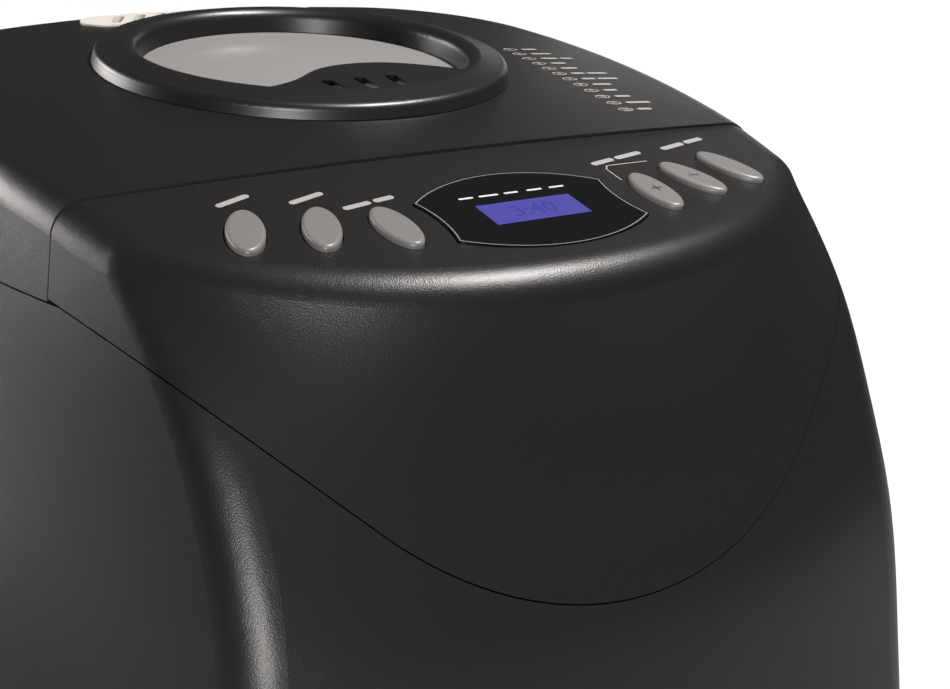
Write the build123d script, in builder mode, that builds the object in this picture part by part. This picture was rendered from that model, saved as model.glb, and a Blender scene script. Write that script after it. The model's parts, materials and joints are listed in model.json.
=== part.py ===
from build123d import *
from math import cos, radians, sin, tan
import os

# Bread machine, millimetres. +Z up, front towards -Y, origin under the middle of the
# bounding box, at the height of the surface that the rubber feet stand on.

# ---- driving dimensions: outer form -------------------------------------------------
WALL = 2.6  # moulded plastic wall
PARTING = 0.6  # gap at the lines where two casings meet
HOUSING_BOTTOM = 6.0  # bottom rim of the housing above the table
SEAM_Z = 232.0  # line between lid and housing, round the sides and the back
SEAM_Y = -60.6  # middle of the line between lid and control panel
SEAM_BOW = 7.4  # how far that line bends back at the sides
SEAM_HALF = 141.0  # half the length of that line
U_BOTTOM = 141.5  # lowest point of the curved line below the control panel
U_RADIUS = 125.0  # round bottom of that line
U_RISE = 43.0  # its straight arms climb at this angle, in degrees
WIDEST_Y = 40.0
REAR_Y, REAR_CORNER_X, REAR_CORNER_Y = 180.5, 139.0, 165.0
FRONT_CORNER_R, REAR_CORNER_R = 22.0, 75.0
# Plan of the form at each level: level, y of the middle of the front, y and x of the
# front corner, half width. The front is scooped: it comes forward above and below.
LEVELS = (
    (-12.0, -190.3, -170.0, 142.5, 158.0),
    (40.0, -186.0, -166.4, 140.0, 157.8),
    (92.0, -181.4, -162.2, 136.8, 157.4),
    (140.0, -175.5, -157.2, 132.6, 156.8),
    (180.0, -160.0, -144.0, 130.9, 156.4),
    (212.0, -153.0, -124.4, 133.0, 155.8),
    (238.0, -151.5, -97.6, 136.6, 155.0),
    (300.0, -151.5, -90.0, 137.5, 153.5),
    (380.0, -151.5, -90.0, 138.0, 153.0),
)
SPARE_LEVELS = 4  # more levels below and above, past the form, keep its ends from waving
OUTER_EDGE_R, INNER_EDGE_R = 13.0, 10.5

# ---- driving dimensions: top, slightly crowned across -------------------------------
CROWN_R = 1750.0
CROWN_Z = 267.0 - CROWN_R
PANEL_Y, PANEL_Z, PANEL_SLOPE = -109.5, 255.0, 14.0  # middle of the display
LID_ARC = ((-230.0, 224.0), (60.0, 287.8), (230.0, 299.5))  # y and height in the middle plane
WINDOW_Y, WINDOW_Z, WINDOW_SLOPE = 55.0, 287.1, 7.2
RING_R, OPENING_R, GLASS_R = 84.0, 69.0, 66.0
VENT_Y, VENT_LENGTH, VENT_WIDTH = 154.0, 114.0, 24.0

# ---- driving dimensions: controls ---------------------------------------------------
BUTTON_A, BUTTON_B = 14.1, 6.3
BUTTON_TRAVEL = 1.2
# name: x, y, turn of the long axis from the X axis
BUTTONS = {
    "button_cycle": (-97.7, -94.8, 68.3),
    "button_crust": (-74.7, -101.3, 69.2),
    "button_loaf_size": (-52.0, -108.5, 90.0),
    "button_plus": (52.0, -108.5, 90.0),
    "button_minus": (74.7, -101.3, 110.8),
    "button_start_stop": (97.7, -94.8, 111.7),
}
STEM_END, SWITCH_TOP, BOARD_TOP = -12.6, -14.0, -17.0  # below the panel's surface

# ---- driving dimensions: baking chamber, pan and drive ------------------------------
CHAMBER_X, CHAMBER_Y, CHAMBER_R = 230.0, 184.0, 34.0
CHAMBER_BOTTOM, DECK_Z, DECK_T = 52.0, 221.0, 3.0
SHEET = 1.0
PAN_X, PAN_Y, PAN_R = 190.0, 130.0, 30.0
PAN_BOTTOM, PAN_TOP, PAN_WALL = 62.0, 188.0, 1.6
CENTRE_Y = WINDOW_Y
BAIL_Z, BAIL_X, BAIL_REACH, BAIL_WIRE = 190.4, 101.5, 66.0, 2.0
CHASSIS_Z = 34.0
MOTOR_X, MOTOR_Y = -55.0, -98.0
SHAFT_R, MOTOR_SHAFT_R = 5.0, 4.0
BELT_T, BELT_LOW, BELT_HIGH = 2.0, 20.0, 28.0
LARGE_GROOVE_R, SMALL_GROOVE_R = 42.7, 6.7
BELT_CLEAR = 0.3
RUNNING = 0.05  # radial clearance of a running shaft
HINGE_Y, HINGE_Z, HINGE_R = 184.0, 237.0, 4.8

os.makedirs("parts", exist_ok=True)


def save(name, part):
    """Label a finished piece and write it."""
    part.label = name
    export_step(part, f"parts/{name}.step")


# ---- outer form ---------------------------------------------------------------------
def plan_outline(level, inset):
    """Closed plan outline of the form at one level: four arcs with rounded corners."""
    z, front_y, corner_y, corner_x, half = level
    with BuildSketch(Plane.XY.offset(z)) as outline:
        with BuildLine():
            ThreePointArc((-corner_x, corner_y), (0, front_y), (corner_x, corner_y))
            ThreePointArc((corner_x, corner_y), (half, WIDEST_Y), (REAR_CORNER_X, REAR_CORNER_Y))
            ThreePointArc((REAR_CORNER_X, REAR_CORNER_Y), (0, REAR_Y), (-REAR_CORNER_X, REAR_CORNER_Y))
            ThreePointArc((-REAR_CORNER_X, REAR_CORNER_Y), (-half, WIDEST_Y), (-corner_x, corner_y))
        make_face()
        fillet(outline.vertices().sort_by(Axis.Y)[:2], FRONT_CORNER_R)
        fillet(outline.vertices().sort_by(Axis.Y)[-2:], REAR_CORNER_R)
        if inset:
            offset(amount=-inset, kind=Kind.INTERSECTION)
    return outline.sketch


def lid_line(inset):
    """Side profile of the lid's top: one shallow arc."""
    base = -CROWN_Z - inset
    front, middle, rear = [(y, z + base) for y, z in LID_ARC]
    low = -60.0 - CROWN_Z
    ThreePointArc(front, middle, rear)
    Polyline(rear, (rear[0], low), (front[0], low), front)


def panel_line(inset):
    """Side profile of the control panel: one straight slope."""
    slope = tan(radians(PANEL_SLOPE))
    base = PANEL_Z - CROWN_Z - inset
    low = -60.0 - CROWN_Z
    near, far = base + (-260.0 - PANEL_Y) * slope, base + (260.0 - PANEL_Y) * slope
    Polyline((-260.0, near), (260.0, far), (260.0, low), (-260.0, low), close=True)


def stacked_levels():
    """All levels, with the flared foot and the upright top carried on past the form."""
    step = [upper - lower for lower, upper in zip(LEVELS[0], LEVELS[1])]
    below = [
        tuple(value - n * change for value, change in zip(LEVELS[0], step))
        for n in range(SPARE_LEVELS, 0, -1)
    ]
    return below + list(LEVELS) + [(460.0, *LEVELS[-1][1:])]


def outer_form(side_profile, inset):
    """The whole outer form under one top profile, solid, moved in by inset."""
    with BuildPart() as form:
        for level in stacked_levels():
            add(plan_outline(level, inset))
        loft()
        lean = radians(8)
        start = Plane((0, 0, CROWN_Z), x_dir=(0, 1, 0), z_dir=(cos(lean), 0, sin(lean)))
        with BuildSketch(start):
            with BuildLine():
                side_profile(inset)
            make_face()
        crown_axis = Axis((0, 0, CROWN_Z), (0, 1, 0))
        revolve(axis=crown_axis, revolution_arc=16, mode=Mode.INTERSECT)
        fillet(form.faces().sort_by(Axis.Z)[-1].edges(), INNER_EDGE_R if inset else OUTER_EDGE_R)
    return form.part


def front_zone(shift, low, high):
    """Everything in front of the line between lid and panel, shift further back."""
    with BuildPart() as zone:
        with BuildSketch(Plane.XY.offset(low)):
            with BuildLine():
                side = (SEAM_HALF, SEAM_Y + SEAM_BOW + shift)
                arc = ThreePointArc((-side[0], side[1]), (0, SEAM_Y + shift), side)
                Polyline(side, (200, side[1] + 6), (200, -260), (-200, -260), (-200, side[1] + 6), arc @ 0)
            make_face()
        extrude(amount=high - low)
    return zone.part


def above_u(drop):
    """Everything above the curved line below the control panel, in front of the lid."""
    with BuildPart() as zone:
        with BuildSketch(Plane.XZ):
            with BuildLine():
                centre_z = U_BOTTOM - drop + U_RADIUS
                rise = radians(U_RISE)
                end = (U_RADIUS * sin(rise), centre_z - U_RADIUS * cos(rise))
                far = (200.0, end[1] + (200.0 - end[0]) * tan(rise))
                ThreePointArc((-end[0], end[1]), (0, U_BOTTOM - drop), end)
                Polyline(end, far, (200, 420), (-200, 420), (-far[0], far[1]), (-end[0], end[1]))
            make_face()
        extrude(amount=300)
    return zone.part


def slab(low, high):
    """A thick horizontal slice, wider than the object."""
    with BuildPart() as zone:
        with BuildSketch(Plane.XY.offset(low)):
            Rectangle(420, 480)
        extrude(amount=high - low)
    return zone.part


LID_FORM = outer_form(lid_line, 0)
LID_INSIDE = outer_form(lid_line, WALL)
PANEL_FORM = outer_form(panel_line, 0)
PANEL_INSIDE = outer_form(panel_line, WALL)

# ---- planes of the controls and of the window ---------------------------------------
SLOPE = radians(PANEL_SLOPE)
PANEL = Plane((0, PANEL_Y, PANEL_Z), x_dir=(1, 0, 0), z_dir=(0, -sin(SLOPE), cos(SLOPE)))
TILT = radians(WINDOW_SLOPE)
WINDOW = Plane((0, WINDOW_Y, WINDOW_Z), x_dir=(1, 0, 0), z_dir=(0, -sin(TILT), cos(TILT)))
WINDOW_AXIS = Axis(WINDOW.origin, WINDOW.z_dir)
WINDOW_SECTION = Plane(WINDOW.origin, x_dir=(1, 0, 0), z_dir=(0, -cos(TILT), -sin(TILT)))


def button_plane(x, y, turn):
    """Plane on the crowned panel, square to it, with its X axis along the button."""
    drop = x * x / (2 * CROWN_R)
    lean = x / CROWN_R
    z = PANEL_Z + (y - PANEL_Y) * tan(SLOPE) - drop
    normal = (sin(lean) * cos(SLOPE), -sin(SLOPE), cos(lean) * cos(SLOPE))
    along = Vector(cos(lean), 0, -sin(lean)).rotate(Axis((0, 0, 0), normal), turn)
    return Plane((x, y, z), x_dir=along, z_dir=normal)


def lens_outline(grow):
    """Display lens: bowed front and back, slightly hollow sides."""
    with BuildSketch(Plane.XY) as lens:
        with BuildLine():
            ThreePointArc((-38, 15), (0, 29), (38, 15))
            ThreePointArc((38, 15), (35.8, 0.5), (38, -14))
            ThreePointArc((38, -14), (0, -26), (-38, -14))
            ThreePointArc((-38, -14), (-35.8, 0.5), (-38, 15))
        make_face()
        fillet(lens.vertices(), 1.5)
        if grow:
            offset(amount=grow)
    return lens.sketch


# ---- casings ------------------------------------------------------------------------
POSTS = ((-150, -62), (150, -62), (-144, 108), (144, 108))
LID_POSTS = ((-129, -22), (129, -22), (-129, 118), (129, 118))
KNUCKLES_X = (-60.0, 60.0)
REAR_SLOTS = [(-54 + 12 * i, 0) for i in range(10)]

with BuildPart() as knuckle_body:
    for x in KNUCKLES_X:
        with BuildSketch(Plane.YZ.offset(x - 6)):
            with BuildLine():
                Polyline((176, 214), (HINGE_Y - 1, 224), (HINGE_Y + HINGE_R, HINGE_Z),
                         (HINGE_Y - HINGE_R, HINGE_Z), (HINGE_Y - HINGE_R, 230), (176, 230), close=True)
            make_face()
        extrude(amount=12)
        with BuildSketch(Plane.YZ.offset(x - 6)):
            with Locations((HINGE_Y, HINGE_Z)):
                Circle(HINGE_R)
        extrude(amount=12)
        with BuildSketch(Plane.YZ.offset(x - 20)):
            with Locations((HINGE_Y, HINGE_Z)):
                Circle(2.0 + RUNNING)
        extrude(amount=40, mode=Mode.SUBTRACT)

with BuildPart() as body_housing:
    add(PANEL_FORM)
    add(slab(HOUSING_BOTTOM, SEAM_Z - PARTING / 2), mode=Mode.INTERSECT)
    with BuildPart(mode=Mode.PRIVATE) as cut:
        add(above_u(PARTING / 2))
        add(front_zone(PARTING / 2, 0, 420), mode=Mode.INTERSECT)
    add(cut.part, mode=Mode.SUBTRACT)
    add(PANEL_INSIDE, mode=Mode.SUBTRACT)
    for x, y in POSTS:
        with BuildSketch(Plane.XY.offset(9.0)):
            with Locations((x, y)):
                Circle(5.5)
        extrude(amount=36)
        with BuildSketch(Plane.XY.offset(9.0)):
            with Locations((x, y)):
                Circle(1.7)
        extrude(amount=24, mode=Mode.SUBTRACT)
    with BuildSketch(Plane.XZ.offset(-165)):
        with Locations(*[(x, 70) for x, _ in REAR_SLOTS]):
            SlotOverall(44, 4, rotation=90)
        with Locations(*[(x, 198) for x, _ in REAR_SLOTS[2:8]]):
            SlotOverall(18, 4, rotation=90)
    extrude(amount=-40, mode=Mode.SUBTRACT)
    with BuildSketch(Plane.YZ.offset(170)):
        with Locations(*[(-42 + 11 * i, 42) for i in range(7)]):
            SlotOverall(36, 4, rotation=90)
    extrude(amount=-40, mode=Mode.SUBTRACT)
    with BuildSketch(Plane.XZ.offset(-160)):
        with Locations((50, 28)):
            Circle(6.6)
    extrude(amount=-30, mode=Mode.SUBTRACT)
    add(knuckle_body.part)
save("body_housing", body_housing.part)

with BuildPart() as front_fascia:
    add(PANEL_FORM)
    add(front_zone(-PARTING / 2, 0, 420), mode=Mode.INTERSECT)
    add(above_u(-PARTING / 2), mode=Mode.INTERSECT)
    add(PANEL_INSIDE, mode=Mode.SUBTRACT)
    for x, y, turn in BUTTONS.values():
        with BuildSketch(button_plane(x, y, turn).offset(-12)):
            Ellipse(BUTTON_A + 0.4, BUTTON_B + 0.4)
        extrude(amount=20, mode=Mode.SUBTRACT)
    with BuildSketch(PANEL.offset(-12)):
        add(lens_outline(0.3))
    extrude(amount=20, mode=Mode.SUBTRACT)
save("front_fascia", front_fascia.part)

with BuildPart() as lid_knuckles:
    for x in KNUCKLES_X:
        for low in (x - 15, x + 6.4):
            with BuildSketch(Plane.YZ.offset(low)):
                with Locations((HINGE_Y, HINGE_Z)):
                    Circle(HINGE_R)
                with Locations((HINGE_Y - 4.05, HINGE_Z + 0.5)):
                    Rectangle(8.1, 2 * HINGE_R - 1)
            extrude(amount=8.6)
    with BuildSketch(Plane.YZ.offset(-90)):
        with Locations((HINGE_Y, HINGE_Z)):
            Circle(2.0 + RUNNING)
    extrude(amount=180, mode=Mode.SUBTRACT)

with BuildPart() as lid_posts:
    for x, y in LID_POSTS:
        with BuildSketch(Plane.XY.offset(236)):
            with Locations((x, y)):
                Circle(4.5)
        extrude(amount=60)
    add(LID_FORM, mode=Mode.INTERSECT)
    for x, y in LID_POSTS:
        with BuildSketch(Plane.XY.offset(236)):
            with Locations((x, y)):
                Circle(1.4)
        extrude(amount=14, mode=Mode.SUBTRACT)

with BuildPart() as lid_grips:
    for side in (-1, 1):
        with BuildSketch(Plane.XY.offset(SEAM_Z + PARTING / 2)):
            with BuildLine():
                ThreePointArc((side * 150, -18), (side * 159, 25), (side * 150, 68))
                Line((side * 150, 68), (side * 150, -18))
            make_face()
        extrude(amount=9)
    add(LID_INSIDE, mode=Mode.SUBTRACT)

with BuildPart() as lid_cover:
    add(LID_FORM)
    add(slab(SEAM_Z + PARTING / 2, 420), mode=Mode.INTERSECT)
    add(front_zone(PARTING / 2, 0, 420), mode=Mode.SUBTRACT)
    with BuildPart(mode=Mode.PRIVATE) as hollow:
        add(LID_INSIDE)
        add(front_zone(PARTING / 2 + WALL, 0, 420), mode=Mode.SUBTRACT)
    add(hollow.part, mode=Mode.SUBTRACT)
    add(lid_grips.part)
    add(lid_posts.part)
    add(lid_knuckles.part)
    with BuildSketch(WINDOW.offset(-16)):
        Circle(OPENING_R)
    extrude(amount=30, mode=Mode.SUBTRACT)
    with BuildSketch(Plane.XY.offset(280)):
        with Locations((0, VENT_Y)):
            SlotOverall(VENT_LENGTH, VENT_WIDTH)
    extrude(amount=40, mode=Mode.SUBTRACT)
save("lid_cover", lid_cover.part)

with BuildPart() as vent_insert:
    with BuildSketch(Plane.XY.offset(280)):
        with Locations((0, VENT_Y)):
            SlotOverall(VENT_LENGTH - 0.8, VENT_WIDTH - 0.8)
    extrude(amount=40)
    add(LID_FORM.moved(Location((0, 0, 0.7))), mode=Mode.INTERSECT)
    add(LID_FORM.moved(Location((0, 0, -3.2))), mode=Mode.SUBTRACT)
    with BuildSketch(Plane.XY.offset(280)):
        with Locations(*[(-40 + 10 * i, VENT_Y) for i in range(9)]):
            SlotOverall(17, 4.4, rotation=62)
    extrude(amount=40, mode=Mode.SUBTRACT)
save("vent_insert", vent_insert.part)

with BuildPart() as window_bezel:
    with BuildSketch(WINDOW_SECTION):
        with BuildLine():
            Line((RING_R, -1.8), (RING_R - 0.8, 1.2))
            ThreePointArc((RING_R - 0.8, 1.2), (RING_R - 1.8, 3.2), (RING_R - 3.8, 4.0))
            Line((RING_R - 3.8, 4.0), (72, 6.0))
            ThreePointArc((72, 6.0), (68.2, 5.2), (66.2, 2.0))
            Polyline((66.2, 2.0), (65, -3.6), (68.4, -3.6), (68.4, -1.0), (RING_R, -1.8))
        make_face()
    revolve(axis=WINDOW_AXIS)
    with BuildSketch(WINDOW.offset(0.8)):
        with BuildLine():
            pad_edge = Spline((-45, -49), (-37.6, -46.9), (-23.7, -40.3), (-8.8, -28.6), (4.8, -24.3),
                              (20.3, -25.6), (34.7, -33.4), (48, -46))
            ThreePointArc(pad_edge @ 1, (0, -66.5), pad_edge @ 0)
        make_face()
    extrude(amount=2.6)
    with BuildSketch(WINDOW.offset(0)):
        for x in (-13, 0, 13):
            with Locations((x, -54)):
                SlotOverall(19, 5, rotation=90 - x * 0.6)
    extrude(amount=7, mode=Mode.SUBTRACT)
save("window_bezel", window_bezel.part)

with BuildPart() as window_glass:
    with BuildSketch(WINDOW.offset(-7.0)):
        Circle(GLASS_R + 0.8)
    extrude(amount=3.0)
save("window_glass", window_glass.part)

with BuildPart() as window_gasket:
    with BuildSketch(WINDOW.offset(-9.5)):
        Circle(GLASS_R + 0.8)
        Circle(61.0, mode=Mode.SUBTRACT)
    extrude(amount=2.5)
save("window_gasket", window_gasket.part)

# ---- lid liner: a dome over the chamber, with a collar up to the window --------------
DOME_TOP = -20.0
with BuildPart() as dome_outside:
    with BuildSketch(Plane.XY.offset(234)):
        with Locations((0, CENTRE_Y)):
            RectangleRounded(226, 180, 34)
    extrude(amount=80)
    with BuildPart(mode=Mode.PRIVATE) as lid_cap:
        with BuildSketch(WINDOW.offset(DOME_TOP)):
            Rectangle(500, 500)
        extrude(amount=100)
    add(lid_cap.part, mode=Mode.SUBTRACT)
with BuildPart() as dome_inside:
    with BuildSketch(Plane.XY.offset(233)):
        with Locations((0, CENTRE_Y)):
            RectangleRounded(223, 177, 32.5)
    extrude(amount=80)
    with BuildPart(mode=Mode.PRIVATE) as inner_cap:
        with BuildSketch(WINDOW.offset(DOME_TOP - 1.5)):
            Rectangle(500, 500)
        extrude(amount=100)
    add(inner_cap.part, mode=Mode.SUBTRACT)
with BuildPart() as lid_liner:
    add(slab(234, 235.6))
    with BuildPart(mode=Mode.PRIVATE) as liner_edge:
        add(outer_form(lid_line, WALL + 0.8))
        add(front_zone(PARTING / 2 + WALL + 0.8, 0, 420), mode=Mode.SUBTRACT)
    add(liner_edge.part, mode=Mode.INTERSECT)
    add(dome_outside.part)
    with BuildSketch(WINDOW.offset(DOME_TOP - 1.5)):
        Circle(64.0)
    extrude(amount=1.5 - 9.5 - DOME_TOP)
    add(dome_inside.part, mode=Mode.SUBTRACT)
    with BuildSketch(WINDOW.offset(DOME_TOP - 10)):
        Circle(61.5)
    extrude(amount=30, mode=Mode.SUBTRACT)
    with BuildSketch(Plane.XY.offset(230)):
        with Locations(*LID_POSTS):
            Circle(1.8)
    extrude(amount=10, mode=Mode.SUBTRACT)
save("lid_liner", lid_liner.part)

with BuildPart() as lid_screws:
    for x, y in LID_POSTS:
        with BuildSketch(Plane.XY.offset(231.6)):
            with Locations((x, y)):
                Circle(3.2)
        extrude(amount=2.4)
        with BuildSketch(Plane.XY.offset(234)):
            with Locations((x, y)):
                Circle(1.3)
        extrude(amount=13)
save("lid_screws", lid_screws.part)

with BuildPart() as hinge_pins:
    for x in KNUCKLES_X:
        with BuildSketch(Plane.YZ.offset(x - 15)):
            with Locations((HINGE_Y, HINGE_Z)):
                Circle(2.0)
        extrude(amount=30)
save("hinge_pins", hinge_pins.part)

# ---- top deck, base and feet --------------------------------------------------------
with BuildPart() as top_deck:
    add(slab(DECK_Z, DECK_Z + DECK_T))
    with BuildPart(mode=Mode.PRIVATE) as deck_edge:
        for level in LEVELS[3:]:
            add(plan_outline(level, WALL + 1.2))
        loft(ruled=True)
    add(deck_edge.part, mode=Mode.INTERSECT)
    with BuildSketch(Plane.XY.offset(200)):
        with Locations((0, -160)):
            Rectangle(400, 186)
    extrude(amount=60, mode=Mode.SUBTRACT)
    with BuildSketch(Plane.XY.offset(DECK_Z)):
        with Locations((0, -65.8)):
            Rectangle(240, 2.4)
    extrude(amount=36)
    with BuildSketch(Plane.XY.offset(200)):
        with Locations((0, CENTRE_Y)):
            RectangleRounded(CHAMBER_X + 1, CHAMBER_Y + 1, CHAMBER_R + 0.5)
    extrude(amount=60, mode=Mode.SUBTRACT)
save("top_deck", top_deck.part)

with BuildPart() as base_plate:
    add(slab(HOUSING_BOTTOM, 9.0))
    with BuildPart(mode=Mode.PRIVATE) as base_edge:
        for level in LEVELS[:4]:
            add(plan_outline(level, WALL + 0.8))
        loft(ruled=True)
    add(base_edge.part, mode=Mode.INTERSECT)
    with BuildSketch(Plane.XY.offset(0)):
        with Locations(*POSTS):
            Circle(2.0)
        with Locations(*[(-55, -130 + 9 * i) for i in range(8)]):
            SlotOverall(60, 4)
    extrude(amount=20, mode=Mode.SUBTRACT)
save("base_plate", base_plate.part)

with BuildPart() as base_screws:
    for x, y in POSTS:
        with BuildSketch(Plane.XY.offset(4.0)):
            with Locations((x, y)):
                Circle(3.6)
        extrude(amount=2.0)
        with BuildSketch(Plane.XY.offset(6.0)):
            with Locations((x, y)):
                Circle(1.6)
        extrude(amount=20)
save("base_screws", base_screws.part)

FEET = ((-100, -125), (100, -125), (-100, 130), (100, 130))
with BuildPart() as rubber_feet:
    for x, y in FEET:
        with BuildSketch(Plane.XY):
            with Locations((x, y)):
                Circle(11)
        extrude(amount=HOUSING_BOTTOM)
    chamfer(rubber_feet.faces().group_by(Axis.Z)[0].edges(), 1.0)
save("rubber_feet", rubber_feet.part)

with BuildPart() as cord_gland:
    with BuildSketch(Plane.XZ.offset(-170)):
        with Locations((50, 28)):
            Circle(9.5)
    extrude(amount=-4)
    with BuildSketch(Plane.XZ.offset(-174)):
        with Locations((50, 28)):
            Circle(6.4)
    extrude(amount=-8)
    with BuildSketch(Plane.XZ.offset(-165)):
        with Locations((50, 28)):
            Circle(3.6)
    extrude(amount=-30, mode=Mode.SUBTRACT)
save("cord_gland", cord_gland.part)

# ---- controls -----------------------------------------------------------------------
for button_name, (x, y, turn) in BUTTONS.items():
    place = button_plane(x, y, turn)
    stem = -STEM_END - x * x / (2 * CROWN_R) - 4.8
    with BuildPart() as button:
        with BuildSketch(place.offset(-4.8)):
            Ellipse(BUTTON_A, BUTTON_B)
        extrude(amount=7.0)
        fillet(button.faces().sort_by(Axis(place.origin, place.z_dir))[-1].edges(), 1.4)
        with BuildSketch(place.offset(-4.8)):
            Ellipse(BUTTON_A + 1.2, BUTTON_B + 1.2)
        extrude(amount=1.0)
        with BuildSketch(place.offset(-4.8)):
            Circle(2.2)
        extrude(amount=-stem)
    save(button_name, button.part)

with BuildPart() as display_lens:
    with BuildSketch(PANEL.offset(-3.6)):
        add(lens_outline(0))
    extrude(amount=3.9)
    with BuildSketch(PANEL.offset(-5.0)):
        add(lens_outline(2.0))
    extrude(amount=1.5)
save("display_lens", display_lens.part)

with BuildPart() as lcd_module:
    with BuildSketch(PANEL.offset(-12.5)):
        Rectangle(54, 24)
    extrude(amount=7.3)
    fillet(lcd_module.edges().filter_by(Axis(PANEL.origin, PANEL.z_dir)), 1)
save("lcd_module", lcd_module.part)

SWITCHES = [(x, (y - PANEL_Y) / cos(SLOPE)) for x, y, _ in BUTTONS.values()]
with BuildPart() as display_board:
    with BuildSketch(PANEL.offset(BOARD_TOP - 1.6)):
        with Locations((0, 9.5)):
            RectangleRounded(212, 35, 3)
        with Locations((-80, 24), (80, 24)):
            Circle(1.6, mode=Mode.SUBTRACT)
    extrude(amount=1.6)
save("display_board", display_board.part)

with BuildPart() as tact_switches:
    for x, y in SWITCHES:
        with BuildSketch(PANEL.offset(BOARD_TOP)):
            with Locations((x, y)):
                Rectangle(6, 6)
        extrude(amount=2.0)
        with BuildSketch(PANEL.offset(BOARD_TOP + 2.0)):
            with Locations((x, y)):
                Circle(1.7)
        extrude(amount=SWITCH_TOP - BOARD_TOP - 2.0)
save("tact_switches", tact_switches.part)

with BuildPart() as buzzer:
    with BuildSketch(PANEL.offset(BOARD_TOP - 1.6)):
        with Locations((28, 14)):
            Circle(7)
    extrude(amount=-6)
save("buzzer", buzzer.part)

# ---- baking chamber -----------------------------------------------------------------
CHAMBER_TOP = DECK_Z + DECK_T
with BuildPart() as baking_chamber:
    with BuildSketch(Plane.XY.offset(CHAMBER_BOTTOM)):
        with Locations((0, CENTRE_Y)):
            RectangleRounded(CHAMBER_X, CHAMBER_Y, CHAMBER_R)
    extrude(amount=CHAMBER_TOP - CHAMBER_BOTTOM)
    with BuildSketch(Plane.XY.offset(CHAMBER_TOP)):
        with Locations((0, CENTRE_Y)):
            RectangleRounded(CHAMBER_X + 10, CHAMBER_Y + 10, CHAMBER_R + 5)
    extrude(amount=SHEET)
    with BuildSketch(Plane.XY.offset(CHAMBER_BOTTOM + SHEET)):
        with Locations((0, CENTRE_Y)):
            RectangleRounded(CHAMBER_X - 2 * SHEET, CHAMBER_Y - 2 * SHEET, CHAMBER_R - SHEET)
    extrude(amount=200, mode=Mode.SUBTRACT)
    with BuildSketch(Plane.XY.offset(40)):
        with Locations((0, CENTRE_Y)):
            Circle(16)
    extrude(amount=20, mode=Mode.SUBTRACT)
    with BuildSketch(Plane.YZ.offset(100)):
        with Locations((CENTRE_Y - 10, 72), (CENTRE_Y + 10, 72)):
            Circle(5.2)
    extrude(amount=30, mode=Mode.SUBTRACT)
    with BuildSketch(Plane.XZ.offset(20)):
        with Locations((60, 120)):
            Circle(3.2)
    extrude(amount=30, mode=Mode.SUBTRACT)
save("baking_chamber", baking_chamber.part)

ELEMENT_R, ELEMENT_Z = 3.2, 72.0
with BuildPart() as heating_element:
    with BuildLine(Plane.XY.offset(ELEMENT_Z)) as loop:
        y0, y1 = CENTRE_Y - 78, CENTRE_Y + 78
        FilletPolyline(
            (127, CENTRE_Y - 10), (104, CENTRE_Y - 10), (104, y0), (-104, y0), (-104, y1), (104, y1),
            (104, CENTRE_Y + 10), (127, CENTRE_Y + 10),
            radius=(9, 30, 30, 30, 30, 9),
        )
    with BuildSketch(Plane((127, CENTRE_Y - 10, ELEMENT_Z), x_dir=(0, 1, 0), z_dir=(-1, 0, 0))):
        Circle(ELEMENT_R)
    sweep()
save("heating_element", heating_element.part)

with BuildPart() as element_bushes:
    for y in (CENTRE_Y - 10, CENTRE_Y + 10):
        with BuildSketch(Plane.YZ.offset(115.2)):
            with Locations((y, ELEMENT_Z)):
                Circle(8)
        extrude(amount=6)
        with BuildSketch(Plane.YZ.offset(112)):
            with Locations((y, ELEMENT_Z)):
                Circle(5)
        extrude(amount=4)
        with BuildSketch(Plane.YZ.offset(105)):
            with Locations((y, ELEMENT_Z)):
                Circle(ELEMENT_R + RUNNING)
        extrude(amount=30, mode=Mode.SUBTRACT)
save("element_bushes", element_bushes.part)

with BuildPart() as temperature_sensor:
    with BuildSketch(Plane.XZ.offset(22)):
        with Locations((60, 120)):
            Circle(3.0)
    extrude(amount=26)
    with BuildSketch(Plane.XZ.offset(37.2)):
        with Locations((60, 120)):
            RegularPolygon(7, 6)
    extrude(amount=4)
save("temperature_sensor", temperature_sensor.part)

with BuildPart() as pan_socket:
    with BuildSketch(Plane.XY.offset(CHAMBER_BOTTOM + SHEET)):
        with Locations((0, CENTRE_Y)):
            Circle(38)
            Circle(17, mode=Mode.SUBTRACT)
    extrude(amount=1.5)
    with BuildSketch(Plane.XY.offset(CHAMBER_BOTTOM + SHEET)):
        with Locations((0, CENTRE_Y)):
            Circle(33)
            Circle(30.2, mode=Mode.SUBTRACT)
    extrude(amount=8)
save("pan_socket", pan_socket.part)

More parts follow.
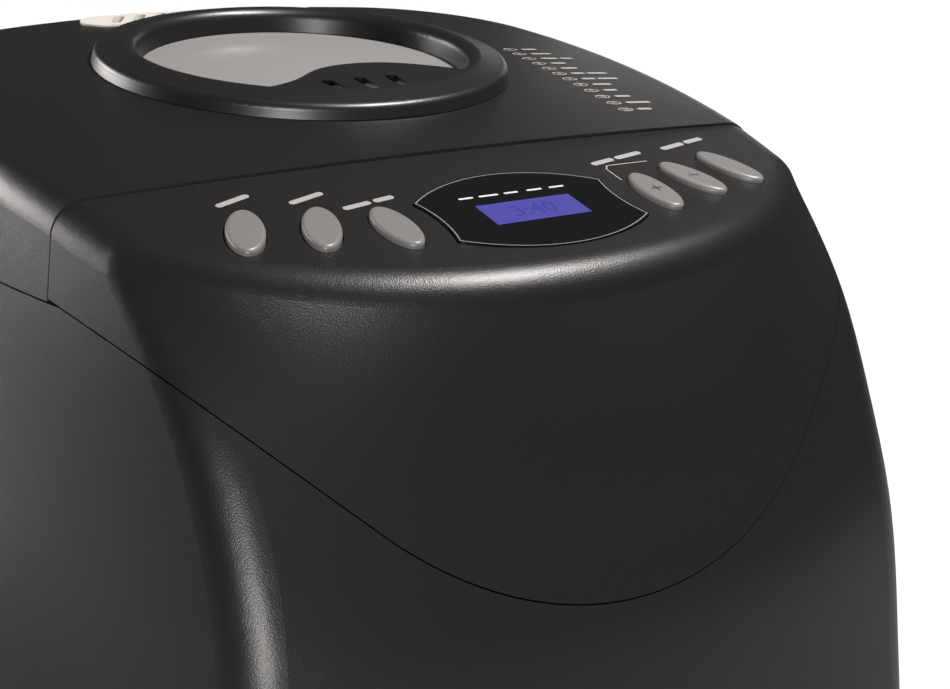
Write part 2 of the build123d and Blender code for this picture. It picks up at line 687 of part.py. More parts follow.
# ---- bread pan and what turns in it -------------------------------------------------
with BuildPart() as bread_pan:
    with BuildSketch(Plane.XY.offset(PAN_BOTTOM)):
        with Locations((0, CENTRE_Y)):
            RectangleRounded(PAN_X - 6, PAN_Y - 6, PAN_R - 3)
    with BuildSketch(Plane.XY.offset(PAN_TOP)):
        with Locations((0, CENTRE_Y)):
            RectangleRounded(PAN_X, PAN_Y, PAN_R)
    loft()
    with BuildSketch(Plane.XY.offset(PAN_TOP - 1.6)):
        with Locations((0, CENTRE_Y)):
            RectangleRounded(PAN_X + 6, PAN_Y + 6, PAN_R + 3)
    extrude(amount=1.6)
    with BuildPart(mode=Mode.PRIVATE) as pan_space:
        with BuildSketch(Plane.XY.offset(PAN_BOTTOM + PAN_WALL)):
            with Locations((0, CENTRE_Y)):
                RectangleRounded(PAN_X - 6 - 2 * PAN_WALL, PAN_Y - 6 - 2 * PAN_WALL, PAN_R - 3 - PAN_WALL)
        with BuildSketch(Plane.XY.offset(PAN_TOP + 0.1)):
            with Locations((0, CENTRE_Y)):
                RectangleRounded(PAN_X - 2 * PAN_WALL, PAN_Y - 2 * PAN_WALL, PAN_R - PAN_WALL)
        loft()
    add(pan_space.part, mode=Mode.SUBTRACT)
    with BuildSketch(Plane.XY.offset(PAN_BOTTOM)):
        with Locations((0, CENTRE_Y)):
            Circle(29.6)
            Circle(27.0, mode=Mode.SUBTRACT)
    extrude(amount=-7.4)
    with BuildSketch(Plane.XY.offset(PAN_BOTTOM + PAN_WALL)):
        with Locations((0, CENTRE_Y)):
            Circle(9)
    extrude(amount=8)
    with BuildSketch(Plane.XY.offset(50)):
        with Locations((0, CENTRE_Y)):
            Circle(4 + RUNNING)
    extrude(amount=40, mode=Mode.SUBTRACT)
    for side in (-1, 1):
        with BuildSketch(Plane.YZ.offset(side * 96.6 - 1)):
            with BuildLine():
                Polyline((CENTRE_Y - 8, 181), (CENTRE_Y - 6, 191), (CENTRE_Y + 6, 191),
                         (CENTRE_Y + 8, 181), close=True)
            make_face()
            with Locations((CENTRE_Y, BAIL_Z)):
                Circle(5)
        extrude(amount=2)
    with BuildSketch(Plane.YZ.offset(-120)):
        with Locations((CENTRE_Y, BAIL_Z)):
            Circle(BAIL_WIRE + RUNNING)
    extrude(amount=240, mode=Mode.SUBTRACT)
save("bread_pan", bread_pan.part)

with BuildPart() as pan_bail:
    with BuildLine(Plane.XY.offset(BAIL_Z)):
        far = CENTRE_Y + BAIL_REACH
        FilletPolyline(
            (94, CENTRE_Y), (BAIL_X, CENTRE_Y), (BAIL_X, far),
            (-BAIL_X, far), (-BAIL_X, CENTRE_Y), (-94, CENTRE_Y),
            radius=(3.5, 28, 28, 3.5),
        )
    with BuildSketch(Plane((94, CENTRE_Y, BAIL_Z), x_dir=(0, 1, 0), z_dir=(1, 0, 0))):
        Circle(BAIL_WIRE)
    sweep()
save("pan_bail", pan_bail.part)

with BuildPart() as pan_shaft:
    with BuildSketch(Plane.XY.offset(57)):
        with Locations((0, CENTRE_Y)):
            Circle(4)
    extrude(amount=40)
save("pan_shaft", pan_shaft.part)

with BuildPart() as pan_seal:
    with BuildSketch(Plane.XY.offset(PAN_BOTTOM + PAN_WALL + 8)):
        with Locations((0, CENTRE_Y)):
            Circle(8.5)
            Circle(4 + RUNNING, mode=Mode.SUBTRACT)
    extrude(amount=2)
save("pan_seal", pan_seal.part)

with BuildPart() as pan_coupler:
    with BuildSketch(Plane.XY.offset(57)):
        with Locations((0, CENTRE_Y)):
            Circle(6.0)
            Rectangle(30, 6)
            Circle(4.02, mode=Mode.SUBTRACT)
    extrude(amount=4.4)
save("pan_coupler", pan_coupler.part)

with BuildPart() as kneading_paddle:
    with BuildSketch(Plane.XY.offset(74.6)):
        with Locations((0, CENTRE_Y)):
            Circle(9)
    extrude(amount=26, taper=4)
    with BuildSketch(Plane.XY.offset(75)):
        with BuildLine():
            outer = ThreePointArc((4, CENTRE_Y - 2.6), (34, CENTRE_Y - 6), (58, CENTRE_Y + 4))
            inner = ThreePointArc((57, CENTRE_Y + 7.4), (34, CENTRE_Y - 1.6), (4, CENTRE_Y + 2.6))
            Line(outer @ 1, inner @ 0)
            Line(inner @ 1, outer @ 0)
        make_face()
    extrude(amount=19)
    with BuildSketch(Plane.XY.offset(70)):
        with Locations((0, CENTRE_Y)):
            Circle(4.02)
    extrude(amount=27.2, mode=Mode.SUBTRACT)
save("kneading_paddle", kneading_paddle.part)

# ---- chassis and drive --------------------------------------------------------------
CHASSIS_POSTS = ((-112, -10), (112, -10), (-95, 140), (95, 140), (-108, -110), (100, -110))
MOTOR_CORNERS = [(MOTOR_X + dx, MOTOR_Y + dy) for dx in (-36, 36) for dy in (-28, 28)]
BOARD_POSTS = [(62 + dx, -96 + dy) for dx in (-38, 38) for dy in (-28, 28)]

with BuildPart() as chassis_plate:
    with BuildSketch(Plane.XY.offset(CHASSIS_Z)):
        with Locations((0, 7.5)):
            RectangleRounded(240, 285, 20)
        with Locations((0, CENTRE_Y)):
            Circle(12.5, mode=Mode.SUBTRACT)
        with Locations((MOTOR_X, MOTOR_Y)):
            Circle(14, mode=Mode.SUBTRACT)
        with Locations(*CHASSIS_POSTS):
            Circle(1.6, mode=Mode.SUBTRACT)
    extrude(amount=2)
    with BuildSketch(Plane.XY.offset(CHASSIS_Z - 8)):
        with Locations((-119, 15), (119, 15)):
            Rectangle(2, 220)
    extrude(amount=8)
save("chassis_plate", chassis_plate.part)

with BuildPart() as chassis_posts:
    for x, y in CHASSIS_POSTS:
        with BuildSketch(Plane.XY.offset(9)):
            with Locations((x, y)):
                Circle(4.5)
                Circle(1.6, mode=Mode.SUBTRACT)
        extrude(amount=CHASSIS_Z - 9)
save("chassis_posts", chassis_posts.part)

with BuildPart() as bearing_housing:
    with BuildSketch(Plane.XY.offset(CHASSIS_Z + 2)):
        with Locations((0, CENTRE_Y)):
            Circle(24)
    extrude(amount=2.5)
    with BuildSketch(Plane.XY.offset(CHASSIS_Z - 3)):
        with Locations((0, CENTRE_Y)):
            Circle(12)
    extrude(amount=17)
    with BuildSketch(Plane.XY.offset(CHASSIS_Z - 10)):
        with Locations((0, CENTRE_Y)):
            Circle(8.02)
    extrude(amount=30, mode=Mode.SUBTRACT)
save("bearing_housing", bearing_housing.part)

with BuildPart() as bearing_bushes:
    for low in (CHASSIS_Z - 3, CHASSIS_Z + 6):
        with BuildSketch(Plane.XY.offset(low)):
            with Locations((0, CENTRE_Y)):
                Circle(8)
                Circle(SHAFT_R + RUNNING, mode=Mode.SUBTRACT)
        extrude(amount=8)
save("bearing_bushes", bearing_bushes.part)

with BuildPart() as drive_shaft:
    with BuildSketch(Plane.XY.offset(14)):
        with Locations((0, CENTRE_Y)):
            Circle(SHAFT_R)
    extrude(amount=40)
save("drive_shaft", drive_shaft.part)

with BuildPart() as drive_coupling:
    with BuildSketch(Plane.XY.offset(49.5)):
        with Locations((0, CENTRE_Y)):
            Circle(14.5)
    extrude(amount=5.5)
    with BuildSketch(Plane.XY.offset(55)):
        with Locations((9.5, CENTRE_Y + 6), (-9.5, CENTRE_Y - 6)):
            Rectangle(7, 4.8)
    extrude(amount=5)
    with BuildSketch(Plane.XY.offset(45)):
        with Locations((0, CENTRE_Y)):
            Circle(SHAFT_R + 0.02)
    extrude(amount=9.02, mode=Mode.SUBTRACT)
save("drive_coupling", drive_coupling.part)


def pulley(groove_r, bore_r, x, y):
    """Flanged pulley with a plain groove for the flat belt, centred at x, y."""
    with BuildPart() as wheel:
        with BuildSketch(Plane.XY.offset(BELT_LOW - 2.4)):
            with Locations((x, y)):
                Circle(groove_r + 3)
        extrude(amount=2)
        with BuildSketch(Plane.XY.offset(BELT_LOW - 0.4)):
            with Locations((x, y)):
                Circle(groove_r)
        extrude(amount=BELT_HIGH - BELT_LOW + 0.8)
        with BuildSketch(Plane.XY.offset(BELT_HIGH + 0.4)):
            with Locations((x, y)):
                Circle(groove_r + 3)
        extrude(amount=2)
        if groove_r > 20:
            with BuildSketch(Plane.XY.offset(10)):
                with Locations((x, y)):
                    with PolarLocations(26, 6):
                        Circle(9)
            extrude(amount=30, mode=Mode.SUBTRACT)
        with BuildSketch(Plane.XY.offset(10)):
            with Locations((x, y)):
                Circle(bore_r)
        extrude(amount=30, mode=Mode.SUBTRACT)
    return wheel.part


save("large_pulley", pulley(LARGE_GROOVE_R, SHAFT_R + 0.02, 0, CENTRE_Y))
save("motor_pulley", pulley(SMALL_GROOVE_R, MOTOR_SHAFT_R + 0.02, MOTOR_X, MOTOR_Y))

with BuildPart() as pulley_nut:
    with BuildSketch(Plane.XY.offset(BELT_LOW - 6.4)):
        with Locations((0, CENTRE_Y)):
            RegularPolygon(9, 6)
            Circle(SHAFT_R + 0.02, mode=Mode.SUBTRACT)
    extrude(amount=4)
save("pulley_nut", pulley_nut.part)

with BuildPart() as drive_belt:
    with BuildSketch(Plane.XY.offset(BELT_LOW)):
        with Locations((0, CENTRE_Y)):
            Circle(LARGE_GROOVE_R + BELT_CLEAR + BELT_T)
        with Locations((MOTOR_X, MOTOR_Y)):
            Circle(SMALL_GROOVE_R + BELT_CLEAR + BELT_T)
        make_hull()
    extrude(amount=BELT_HIGH - BELT_LOW)
    with BuildSketch(Plane.XY.offset(BELT_LOW)):
        with Locations((0, CENTRE_Y)):
            Circle(LARGE_GROOVE_R + BELT_CLEAR)
        with Locations((MOTOR_X, MOTOR_Y)):
            Circle(SMALL_GROOVE_R + BELT_CLEAR)
        make_hull()
    extrude(amount=BELT_HIGH - BELT_LOW, mode=Mode.SUBTRACT)
save("drive_belt", drive_belt.part)

with BuildPart() as motor_mounts:
    for x, y in MOTOR_CORNERS:
        with BuildSketch(Plane.XY.offset(CHASSIS_Z + 2)):
            with Locations((x, y)):
                Circle(6)
        extrude(amount=8)
save("motor_mounts", motor_mounts.part)

with BuildPart() as motor_frame:
    for low, bore in ((44, MOTOR_SHAFT_R + RUNNING), (100, MOTOR_SHAFT_R + RUNNING)):
        with BuildSketch(Plane.XY.offset(low)):
            with Locations((MOTOR_X, MOTOR_Y)):
                RectangleRounded(86, 70, 8)
                Circle(bore, mode=Mode.SUBTRACT)
        extrude(amount=3)
    for x, y in MOTOR_CORNERS:
        with BuildSketch(Plane.XY.offset(47)):
            with Locations((x, y)):
                Circle(3)
        extrude(amount=53)
save("motor_frame", motor_frame.part)

with BuildPart() as motor_stator:
    with BuildSketch(Plane.XY.offset(60)):
        with Locations((MOTOR_X, MOTOR_Y)):
            RectangleRounded(64, 60, 4)
            Circle(18, mode=Mode.SUBTRACT)
    extrude(amount=28)
save("motor_stator", motor_stator.part)

with BuildPart() as motor_windings:
    for low in (52, 88):
        with BuildSketch(Plane.XY.offset(low)):
            with Locations((MOTOR_X, MOTOR_Y)):
                Circle(28)
                Circle(20, mode=Mode.SUBTRACT)
        extrude(amount=8)
save("motor_windings", motor_windings.part)

with BuildPart() as motor_rotor:
    with BuildSketch(Plane.XY.offset(60)):
        with Locations((MOTOR_X, MOTOR_Y)):
            Circle(17.5)
    extrude(amount=28)
    with BuildSketch(Plane.XY.offset(14)):
        with Locations((MOTOR_X, MOTOR_Y)):
            Circle(MOTOR_SHAFT_R)
    extrude(amount=102)
save("motor_rotor", motor_rotor.part)

with BuildPart() as motor_fan:
    with BuildSketch(Plane.XY.offset(105)):
        with Locations((MOTOR_X, MOTOR_Y)):
            Circle(30)
    extrude(amount=1.6)
    with BuildSketch(Plane.XY.offset(105)):
        with Locations((MOTOR_X, MOTOR_Y)):
            Circle(8)
    extrude(amount=9)
    with BuildSketch(Plane.XY.offset(106.6)):
        with Locations((MOTOR_X, MOTOR_Y)):
            with PolarLocations(19, 8):
                Rectangle(19, 1.6, rotation=20)
    extrude(amount=7.4)
    with BuildSketch(Plane.XY.offset(100)):
        with Locations((MOTOR_X, MOTOR_Y)):
            Circle(MOTOR_SHAFT_R + 0.02)
    extrude(amount=20, mode=Mode.SUBTRACT)
save("motor_fan", motor_fan.part)

# ---- power electronics --------------------------------------------------------------
with BuildPart() as board_posts:
    for x, y in BOARD_POSTS:
        with BuildSketch(Plane.XY.offset(CHASSIS_Z + 2)):
            with Locations((x, y)):
                Circle(3.5)
        extrude(amount=12)
save("board_posts", board_posts.part)

with BuildPart() as power_board:
    with BuildSketch(Plane.XY.offset(CHASSIS_Z + 14)):
        with Locations((62, -96)):
            RectangleRounded(86, 66, 2)
    extrude(amount=1.6)
save("power_board", power_board.part)

BOARD_FACE = CHASSIS_Z + 15.6
with BuildPart() as transformer:
    with BuildSketch(Plane.XY.offset(BOARD_FACE)):
        with Locations((44, -96)):
            Rectangle(34, 40)
    extrude(amount=30)
    with BuildSketch(Plane.XY.offset(BOARD_FACE + 6)):
        with Locations((44, -96)):
            Rectangle(26, 52)
    extrude(amount=18)
save("transformer", transformer.part)

with BuildPart() as relays:
    with BuildSketch(Plane.XY.offset(BOARD_FACE)):
        with Locations((76, -82), (76, -106)):
            Rectangle(19, 15)
    extrude(amount=16)
save("relays", relays.part)

with BuildPart() as run_capacitor:
    with BuildSketch(Plane.XY.offset(CHASSIS_Z + 2)):
        with Locations((3, -53)):
            Circle(14)
    extrude(amount=48)
    fillet(run_capacitor.edges().group_by(Axis.Z)[-1], 2)
save("run_capacitor", run_capacitor.part)
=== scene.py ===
import json
import math

import bpy
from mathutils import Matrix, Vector


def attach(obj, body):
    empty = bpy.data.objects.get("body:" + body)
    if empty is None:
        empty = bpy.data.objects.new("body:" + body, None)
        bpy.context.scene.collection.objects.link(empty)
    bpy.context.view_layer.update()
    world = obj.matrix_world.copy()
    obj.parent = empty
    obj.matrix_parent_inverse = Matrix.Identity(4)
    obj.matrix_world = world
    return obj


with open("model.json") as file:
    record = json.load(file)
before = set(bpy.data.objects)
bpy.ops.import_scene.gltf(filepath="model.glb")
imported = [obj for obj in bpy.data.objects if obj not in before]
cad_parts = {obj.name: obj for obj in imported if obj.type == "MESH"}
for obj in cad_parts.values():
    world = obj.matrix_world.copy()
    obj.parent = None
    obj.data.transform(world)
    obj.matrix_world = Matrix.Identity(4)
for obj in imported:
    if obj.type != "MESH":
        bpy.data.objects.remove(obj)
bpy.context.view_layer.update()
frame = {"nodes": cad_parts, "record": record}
nodes = frame["nodes"]
scene = bpy.context.scene

# ---- camera: from the front left, slightly above, tightly cropped --------------------
camera_data = bpy.data.cameras.new("camera")
camera_data.lens = 62.5
camera_data.sensor_width = 36.0
camera_data.clip_start = 0.05
camera = bpy.data.objects.new("camera", camera_data)
camera.location = (-0.3065, -0.5488, 0.3718)
camera.rotation_euler = (math.radians(73.02), 0.0, math.radians(-32.82))
scene.collection.objects.link(camera)
scene.camera = camera
scene.view_settings.view_transform = "Standard"


# ---- shaders ------------------------------------------------------------------------
def shader(name, color, rough, metallic=0.0, grain=0.0, grain_scale=2200.0, **more):
    """A principled material; grain adds a fine moulded texture as bump."""
    mat = bpy.data.materials.new(name)
    mat.use_nodes = True
    tree = mat.node_tree
    bsdf = tree.nodes["Principled BSDF"]
    bsdf.inputs["Base Color"].default_value = (*color, 1.0)
    bsdf.inputs["Roughness"].default_value = rough
    bsdf.inputs["Metallic"].default_value = metallic
    for key, value in more.items():
        bsdf.inputs[key.replace("_", " ")].default_value = value
    if grain:
        place = tree.nodes.new("ShaderNodeTexCoord")
        noise = tree.nodes.new("ShaderNodeTexNoise")
        noise.inputs["Scale"].default_value = grain_scale
        noise.inputs["Detail"].default_value = 1.5
        bump = tree.nodes.new("ShaderNodeBump")
        bump.inputs["Strength"].default_value = grain
        bump.inputs["Distance"].default_value = 0.0004
        tree.links.new(place.outputs["Object"], noise.inputs["Vector"])
        tree.links.new(noise.outputs["Fac"], bump.inputs["Height"])
        tree.links.new(bump.outputs["Normal"], bsdf.inputs["Normal"])
    return mat


looks = {
    "casing": shader("casing", (0.0088, 0.0083, 0.0078), 0.35, grain=0.22, Specular_IOR_Level=0.4),
    "bezel": shader("bezel", (0.009, 0.0085, 0.008), 0.33, grain=0.1),
    "deck": shader("deck", (0.022, 0.021, 0.02), 0.5, grain=0.3),
    "grey_trim": shader("grey_trim", (0.56, 0.54, 0.51), 0.45),
    "button_grey": shader("button_grey", (0.14, 0.133, 0.127), 0.38, grain=0.05),
    "lens": shader("lens", (0.004, 0.004, 0.0045), 0.06),
    "lcd": shader("lcd", (0.05, 0.045, 0.3), 0.35),
    "window_glass": shader("window_glass", (0.26, 0.25, 0.243), 0.16),
    "rubber": shader("rubber", (0.02, 0.02, 0.02), 0.8, grain=0.2),
    "screw_steel": shader("screw_steel", (0.6, 0.6, 0.6), 0.35, 1.0),
    "sheet_steel": shader("sheet_steel", (0.55, 0.55, 0.54), 0.42, 1.0, grain=0.1, grain_scale=900.0),
    "element": shader("element", (0.05, 0.052, 0.05), 0.55, 0.6),
    "ceramic": shader("ceramic", (0.82, 0.79, 0.72), 0.55),
    "nonstick": shader("nonstick", (0.03, 0.03, 0.032), 0.34, 0.3, grain=0.15),
    "aluminium": shader("aluminium", (0.75, 0.75, 0.75), 0.38, 1.0),
    "steel": shader("steel", (0.6, 0.6, 0.59), 0.28, 1.0),
    "bronze": shader("bronze", (0.5, 0.31, 0.14), 0.45, 1.0),
    "pulley_plastic": shader("pulley_plastic", (0.7, 0.68, 0.62), 0.5),
    "laminations": shader("laminations", (0.2, 0.2, 0.21), 0.5, 0.8),
    "copper": shader("copper", (0.55, 0.2, 0.08), 0.4, 0.9),
    "fan_plastic": shader("fan_plastic", (0.75, 0.75, 0.72), 0.5),
    "board_green": shader("board_green", (0.02, 0.12, 0.035), 0.4),
    "board_tan": shader("board_tan", (0.42, 0.26, 0.1), 0.55),
    "black_part": shader("black_part", (0.018, 0.018, 0.018), 0.5),
    "relay_blue": shader("relay_blue", (0.02, 0.08, 0.32), 0.3),
    "capacitor": shader("capacitor", (0.75, 0.75, 0.7), 0.35),
}
slot_of = {s["node"]: s["material_slot"] for s in frame["record"]["subparts"]}
ink = shader("ink", (0.27, 0.26, 0.25), 0.5)
ink_dark = shader("ink_dark", (0.025, 0.024, 0.023), 0.5)
ink_white = shader("ink_white", (0.5, 0.48, 0.46), 0.5)
lcd_lit = shader("lcd_lit", (0.03, 0.028, 0.15), 0.3)
lcd_lit.node_tree.nodes["Principled BSDF"].inputs["Emission Color"].default_value = (0.11, 0.09, 0.5, 1)
lcd_lit.node_tree.nodes["Principled BSDF"].inputs["Emission Strength"].default_value = 0.25
lcd_dark = shader("lcd_dark", (0.03, 0.025, 0.2), 0.3)
lens_rim = shader("lens_rim", (0.4, 0.39, 0.38), 0.3, 0.6)


for name, obj in nodes.items():
    obj.data.materials.clear()
    obj.data.materials.append(looks[slot_of[name]])

# ---- surfaces of the top, as in the part --------------------------------------------
CROWN_R = 1.750  # radius of the side-to-side crown
CROWN_Z = 0.267 - CROWN_R
SLOPE = math.radians(14)
LENS_Y, LENS_Z = -0.1095, 0.255  # middle of the display lens
LID_ARC_Y, LID_ARC_Z, LID_ARC_R = 0.25329, -1.28236, 1.58201  # front-to-back arc of the lid's top


def panel_at(x, y):
    """Height of the control panel's crowned slope."""
    middle = LENS_Z + (y - LENS_Y) * math.tan(SLOPE)
    return CROWN_Z + math.sqrt((middle - CROWN_Z) ** 2 - x * x)


def lid_at(x, y):
    """Height of the lid's top."""
    middle = LID_ARC_Z + math.sqrt(LID_ARC_R ** 2 - (y - LID_ARC_Y) ** 2)
    return CROWN_Z + math.sqrt((middle - CROWN_Z) ** 2 - x * x)


def new_object(name, verts, faces, mat, body):
    mesh = bpy.data.meshes.new(name)
    mesh.from_pydata(verts, [], faces)
    mesh.materials.append(mat)
    obj = bpy.data.objects.new(name, mesh)
    scene.collection.objects.link(obj)
    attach(obj, body)


def flat_faces(name, outlines, mat, body):
    """One mesh with a face for each outline of points."""
    verts, faces = [], []
    for outline in outlines:
        faces.append(tuple(range(len(verts), len(verts) + len(outline))))
        verts += outline
    new_object(name, verts, faces, mat, body)


PRINT_LIFT = 0.00008


def marks(name, outlines, height, mat, body):
    """Printed marks: flat outlines in plan, laid on a surface of the top."""
    flat_faces(name, [[(x, y, height(x, y) + PRINT_LIFT) for x, y in outline] for outline in outlines], mat, body)


def bar(x, y, length, width, turn=0.0):
    """Plan outline of a bar with round ends, centred at x, y."""
    half, r = length / 2 - width / 2, width / 2
    c, s = math.cos(math.radians(turn)), math.sin(math.radians(turn))
    points = []
    for side in (1, -1):
        for k in range(7):
            a = math.radians(-90 + 30 * k)
            u, v = side * (half + r * math.cos(a)), side * r * math.sin(a)
            points.append((x + u * c - v * s, y + u * s + v * c))
    return points


def ring_quads(x, y, a, b, thick, count=28):
    """Plan outlines of a thin oval ring, as small quads."""
    quads = []
    for k in range(count):
        p, q = 2 * math.pi * k / count, 2 * math.pi * (k + 1) / count
        quads.append([
            (x + a * math.cos(p), y + b * math.sin(p)),
            (x + a * math.cos(q), y + b * math.sin(q)),
            (x + (a - thick) * math.cos(q), y + (b - thick) * math.sin(q)),
            (x + (a - thick) * math.cos(p), y + (b - thick) * math.sin(p)),
        ])
    return quads


WORD_GAP = 0.0012
LABEL_WIDTH = 0.0026


def words(x, y, lengths, turn):
    """A row of bars that stands in for a printed word or two."""
    c, s = math.cos(math.radians(turn)), math.sin(math.radians(turn))
    at, out = -(sum(lengths) + WORD_GAP * (len(lengths) - 1)) / 2, []
    for length in lengths:
        u = at + length / 2
        out.append(bar(x + u * c, y + u * s, length, LABEL_WIDTH, turn))
        at += length + WORD_GAP
    return out


# ---- generic marks by the buttons ---------------------------------------------------
label_marks = []
for x, y, lengths, turn in (
    (-0.0915, -0.0725, (0.0135,), 16),
    (-0.0685, -0.0790, (0.0140,), 14),
    (-0.0508, -0.0886, (0.0110, 0.0082), 8),
    (0.0575, -0.0790, (0.0120, 0.0145), 14),
    (0.0950, -0.0705, (0.0140, 0.0115), 17),
):
    label_marks += words(x, y, lengths, turn)
marks("panel_labels", label_marks, panel_at, ink, "machine")
marks("panel_bracket", [
    bar(0.0590, -0.0838, 0.0185, 0.0005, 3), bar(0.0482, -0.0855, 0.0040, 0.0005, 50),
    bar(0.0469, -0.0915, 0.0098, 0.0005, 88),
], panel_at, ink, "machine")

# ---- list of programs on the lid: numbered ovals with a bar each --------------------
PROGRAMS = 12
LETTER = 0.00088  # width of one printed letter
LIST_WIDTH = 0.0022
LIST_INDENT = 0.0060


def program_place(k):
    """Middle of the oval of program k, from the rear row to the front row."""
    t = k / (PROGRAMS - 1)
    return 0.1015 - 0.0063 * t, 0.0555 - 0.0910 * t


ovals, list_bars = [], []
word_letters = ((9,), (12,), (10, 8), (9,), (10,), (8, 12), (8, 12), (11,), (8,), (9,), (14,), (8,))
for k, letters in enumerate(word_letters):
    x, y = program_place(k)
    ovals += ring_quads(x, y, 0.0034, 0.0019, 0.00035)
    at = x + LIST_INDENT
    for count in letters:
        length = count * LETTER
        list_bars.append(bar(at + length / 2, y, length, LIST_WIDTH))
        at += length + WORD_GAP
marks("program_ovals", ovals, lid_at, ink_white, "lid")
marks("program_list", list_bars, lid_at, ink, "lid")


def text_mesh(name, text, size, mat, body, place):
    """A generic number or sign as a flat mesh; place maps its u, v to a point."""
    curve = bpy.data.curves.new(name, "FONT")
    curve.body = text
    curve.size = size
    curve.align_x = "CENTER"
    curve.align_y = "CENTER"
    curve.resolution_u = 3
    maker = bpy.data.objects.new(name, curve)
    scene.collection.objects.link(maker)
    bpy.context.view_layer.update()
    mesh = bpy.data.meshes.new_from_object(maker.evaluated_get(bpy.context.evaluated_depsgraph_get()))
    bpy.data.objects.remove(maker)
    for vertex in mesh.vertices:
        vertex.co = place(vertex.co.x, vertex.co.y)
    mesh.materials.clear()
    mesh.materials.append(mat)
    obj = bpy.data.objects.new(name, mesh)
    scene.collection.objects.link(obj)
    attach(obj, body)


NUMBER_SIZE = 0.0030
NUMBER_LIFT = 0.00009
for k in range(PROGRAMS):
    cx, cy = program_place(k)
    text_mesh(
        f"program_number_{k + 1}", str(k + 1), NUMBER_SIZE, ink_white, "lid",
        lambda u, v: (cx + u, cy + v, lid_at(cx + u, cy + v) + NUMBER_LIFT),
    )

# ---- plus and minus signs on their buttons ------------------------------------------
CAP_TOP = 0.0022
SIGN_LIFT = 0.00006
SIGN_LENGTH, SIGN_WIDTH = 0.0046, 0.0008


def on_panel(x, y, u, v, lift):
    """A point u, v from a button's middle, lifted square to the sloping panel."""
    lean = x / CROWN_R
    across = Vector((math.cos(lean), 0, -math.sin(lean)))
    tilt = math.cos(SLOPE)
    normal = Vector((math.sin(lean) * tilt, -math.sin(SLOPE), math.cos(lean) * tilt))
    along = normal.cross(across)
    return Vector((x, y, panel_at(x, y))) + across * u + along * v + normal * lift


def sign(name, body, x, y, turns):
    """A sign of one bar for each turn, on the cap of the button at x, y."""
    outlines = [
        [on_panel(x, y, u, v, CAP_TOP + SIGN_LIFT) for u, v in bar(0, 0, SIGN_LENGTH, SIGN_WIDTH, turn)]
        for turn in turns
    ]
    flat_faces(name, outlines, ink_dark, body)


sign("plus_mark", "button_plus_cap", 0.0520, -0.1085, (0, 90))
sign("minus_mark", "button_minus_cap", 0.0747, -0.1013, (0,))


# ---- display ------------------------------------------------------------------------
# heights above the panel's slope; the lens itself stands up to 0.0003
RIM_LIFT = 0.00034
LIT_LIFT = 0.00036
ROW_LIFT = 0.00038
DIGIT_LIFT = 0.00040
LIT_HALF_WIDTH, LIT_HALF_HEIGHT = 0.0188, 0.0073
ROW_V = 0.0134


def on_lens(u, v, lift):
    """A point on the display lens, u across and v up the slope from its middle."""
    middle = Vector((u, LENS_Y + v * math.cos(SLOPE), LENS_Z + v * math.sin(SLOPE)))
    return middle + Vector((0, -math.sin(SLOPE), math.cos(SLOPE))) * lift


lit_corners = [
    on_lens(side * LIT_HALF_WIDTH, end * LIT_HALF_HEIGHT, LIT_LIFT)
    for side, end in ((-1, -1), (1, -1), (1, 1), (-1, 1))
]
flat_faces("display_lit", [lit_corners], lcd_lit, "machine")
row_bars = []
for u, length in ((-0.0185, 0.0058), (-0.0095, 0.0078), (-0.0005, 0.0058), (0.0090, 0.0062), (0.0182, 0.0062)):
    row_bars.append([on_lens(*p, ROW_LIFT) for p in bar(u, ROW_V, length, 0.0011)])
flat_faces("display_row", row_bars, ink_white, "machine")


def arc_through(p, q, r, count):
    """Points on the circular arc from p through q to r."""
    d = 2 * (p[0] * (q[1] - r[1]) + q[0] * (r[1] - p[1]) + r[0] * (p[1] - q[1]))
    pp, qq, rr = (a[0] ** 2 + a[1] ** 2 for a in (p, q, r))
    cx = (pp * (q[1] - r[1]) + qq * (r[1] - p[1]) + rr * (p[1] - q[1])) / d
    cy = (pp * (r[0] - q[0]) + qq * (p[0] - r[0]) + rr * (q[0] - p[0])) / d
    radius = math.hypot(p[0] - cx, p[1] - cy)
    start, mid, end = (math.atan2(a[1] - cy, a[0] - cx) for a in (p, q, r))
    turn = (end - start) % (2 * math.pi)
    if (mid - start) % (2 * math.pi) > turn:
        turn -= 2 * math.pi
    return [
        (cx + radius * math.cos(start + turn * k / count), cy + radius * math.sin(start + turn * k / count))
        for k in range(count)
    ]


ARC_STEPS = 24
RIM_OUTER, RIM_INNER = 0.985, 0.972  # the rim line's edges as shares of the lens outline
lens_edge = []
for first, through, last in (
    ((-0.038, 0.015), (0, 0.029), (0.038, 0.015)),
    ((0.038, 0.015), (0.0358, 0.0005), (0.038, -0.014)),
    ((0.038, -0.014), (0, -0.026), (-0.038, -0.014)),
    ((-0.038, -0.014), (-0.0358, 0.0005), (-0.038, 0.015)),
):
    lens_edge += arc_through(first, through, last, ARC_STEPS)
verts, faces = [], []
for u, v in lens_edge:
    verts += [on_lens(u * share, v * share, RIM_LIFT) for share in (RIM_OUTER, RIM_INNER)]
for k in range(len(lens_edge)):
    a, b = 2 * k, 2 * ((k + 1) % len(lens_edge))
    faces.append((a, b, b + 1, a + 1))
new_object("display_rim", verts, faces, lens_rim, "machine")
text_mesh(
    "display_digits", "3:40", 0.0105, lcd_dark, "machine",
    lambda u, v: on_lens(u, v - 0.0002, DIGIT_LIFT),
)

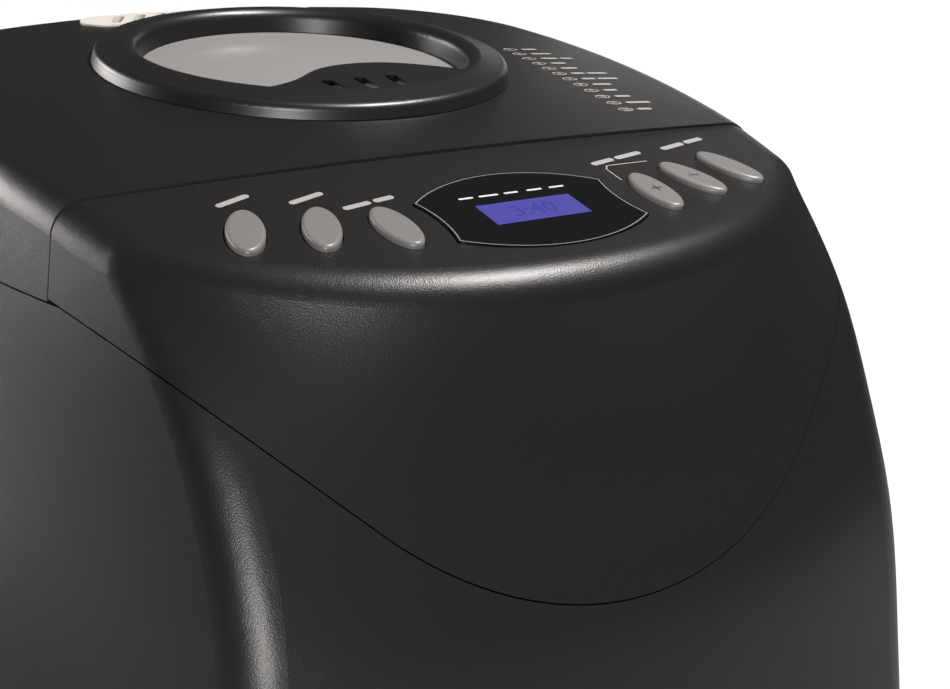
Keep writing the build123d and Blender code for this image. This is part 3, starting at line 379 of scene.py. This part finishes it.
# ---- floor, backdrop and light ------------------------------------------------------
paper = shader("paper", (0.28, 0.28, 0.28), 0.9)
paper_tree = paper.node_tree
glow = paper_tree.nodes.new("ShaderNodeEmission")
glow.inputs["Strength"].default_value = 1.25
seen = paper_tree.nodes.new("ShaderNodeLightPath")
glow_share = paper_tree.nodes.new("ShaderNodeMath")
glow_share.operation = "MULTIPLY"
glow_share.inputs[1].default_value = 0.8
blend = paper_tree.nodes.new("ShaderNodeMixShader")
paper_tree.links.new(seen.outputs["Is Camera Ray"], glow_share.inputs[0])
paper_tree.links.new(glow_share.outputs["Value"], blend.inputs["Fac"])
paper_tree.links.new(paper_tree.nodes["Principled BSDF"].outputs["BSDF"], blend.inputs[1])
paper_tree.links.new(glow.outputs["Emission"], blend.inputs[2])
paper_tree.links.new(blend.outputs["Shader"], paper_tree.nodes["Material Output"].inputs["Surface"])
floor_mesh = bpy.data.meshes.new("floor")
floor_mesh.from_pydata([(-6, -6, 0), (6, -6, 0), (6, 6, 0), (-6, 6, 0)], [], [(0, 1, 2, 3)])
floor_mesh.materials.append(paper)
floor = bpy.data.objects.new("floor", floor_mesh)
scene.collection.objects.link(floor)

world = bpy.data.worlds.new("world")
scene.world = world
world.use_nodes = True
tree = world.node_tree
background = tree.nodes["Background"]
background.inputs["Color"].default_value = (1, 1, 1, 1)
background.inputs["Strength"].default_value = 0.05
bright = tree.nodes.new("ShaderNodeBackground")
bright.inputs["Color"].default_value = (1, 1, 1, 1)
bright.inputs["Strength"].default_value = 1.1
path = tree.nodes.new("ShaderNodeLightPath")
mix = tree.nodes.new("ShaderNodeMixShader")
tree.links.new(path.outputs["Is Camera Ray"], mix.inputs["Fac"])
tree.links.new(background.outputs["Background"], mix.inputs[1])
tree.links.new(bright.outputs["Background"], mix.inputs[2])
tree.links.new(mix.outputs["Shader"], tree.nodes["World Output"].inputs["Surface"])


def softbox(name, place, target, width, height, power):
    data = bpy.data.lights.new(name, "AREA")
    data.shape = "RECTANGLE"
    data.size, data.size_y = width, height
    data.energy = power
    data.color = (1.0, 0.965, 0.94)
    lamp = bpy.data.objects.new(name, data)
    lamp.location = place
    lamp.rotation_euler = (Vector(target) - Vector(place)).to_track_quat("-Z", "Y").to_euler()
    scene.collection.objects.link(lamp)


softbox("key", (0.46, -0.40, 1.4), (0, -0.1, 0.2), 0.6, 0.16, 36)
softbox("left_fill", (-1.0, -1.35, 0.2), (0, -0.1, 0.15), 0.35, 0.5, 24)
softbox("back_left", (-0.9, 1.4, 0.5), (0, 0, 0.1), 1.0, 0.7, 22)
softbox("back_right", (1.3, 1.2, 0.5), (0, 0, 0.25), 0.5, 0.5, 0.8)
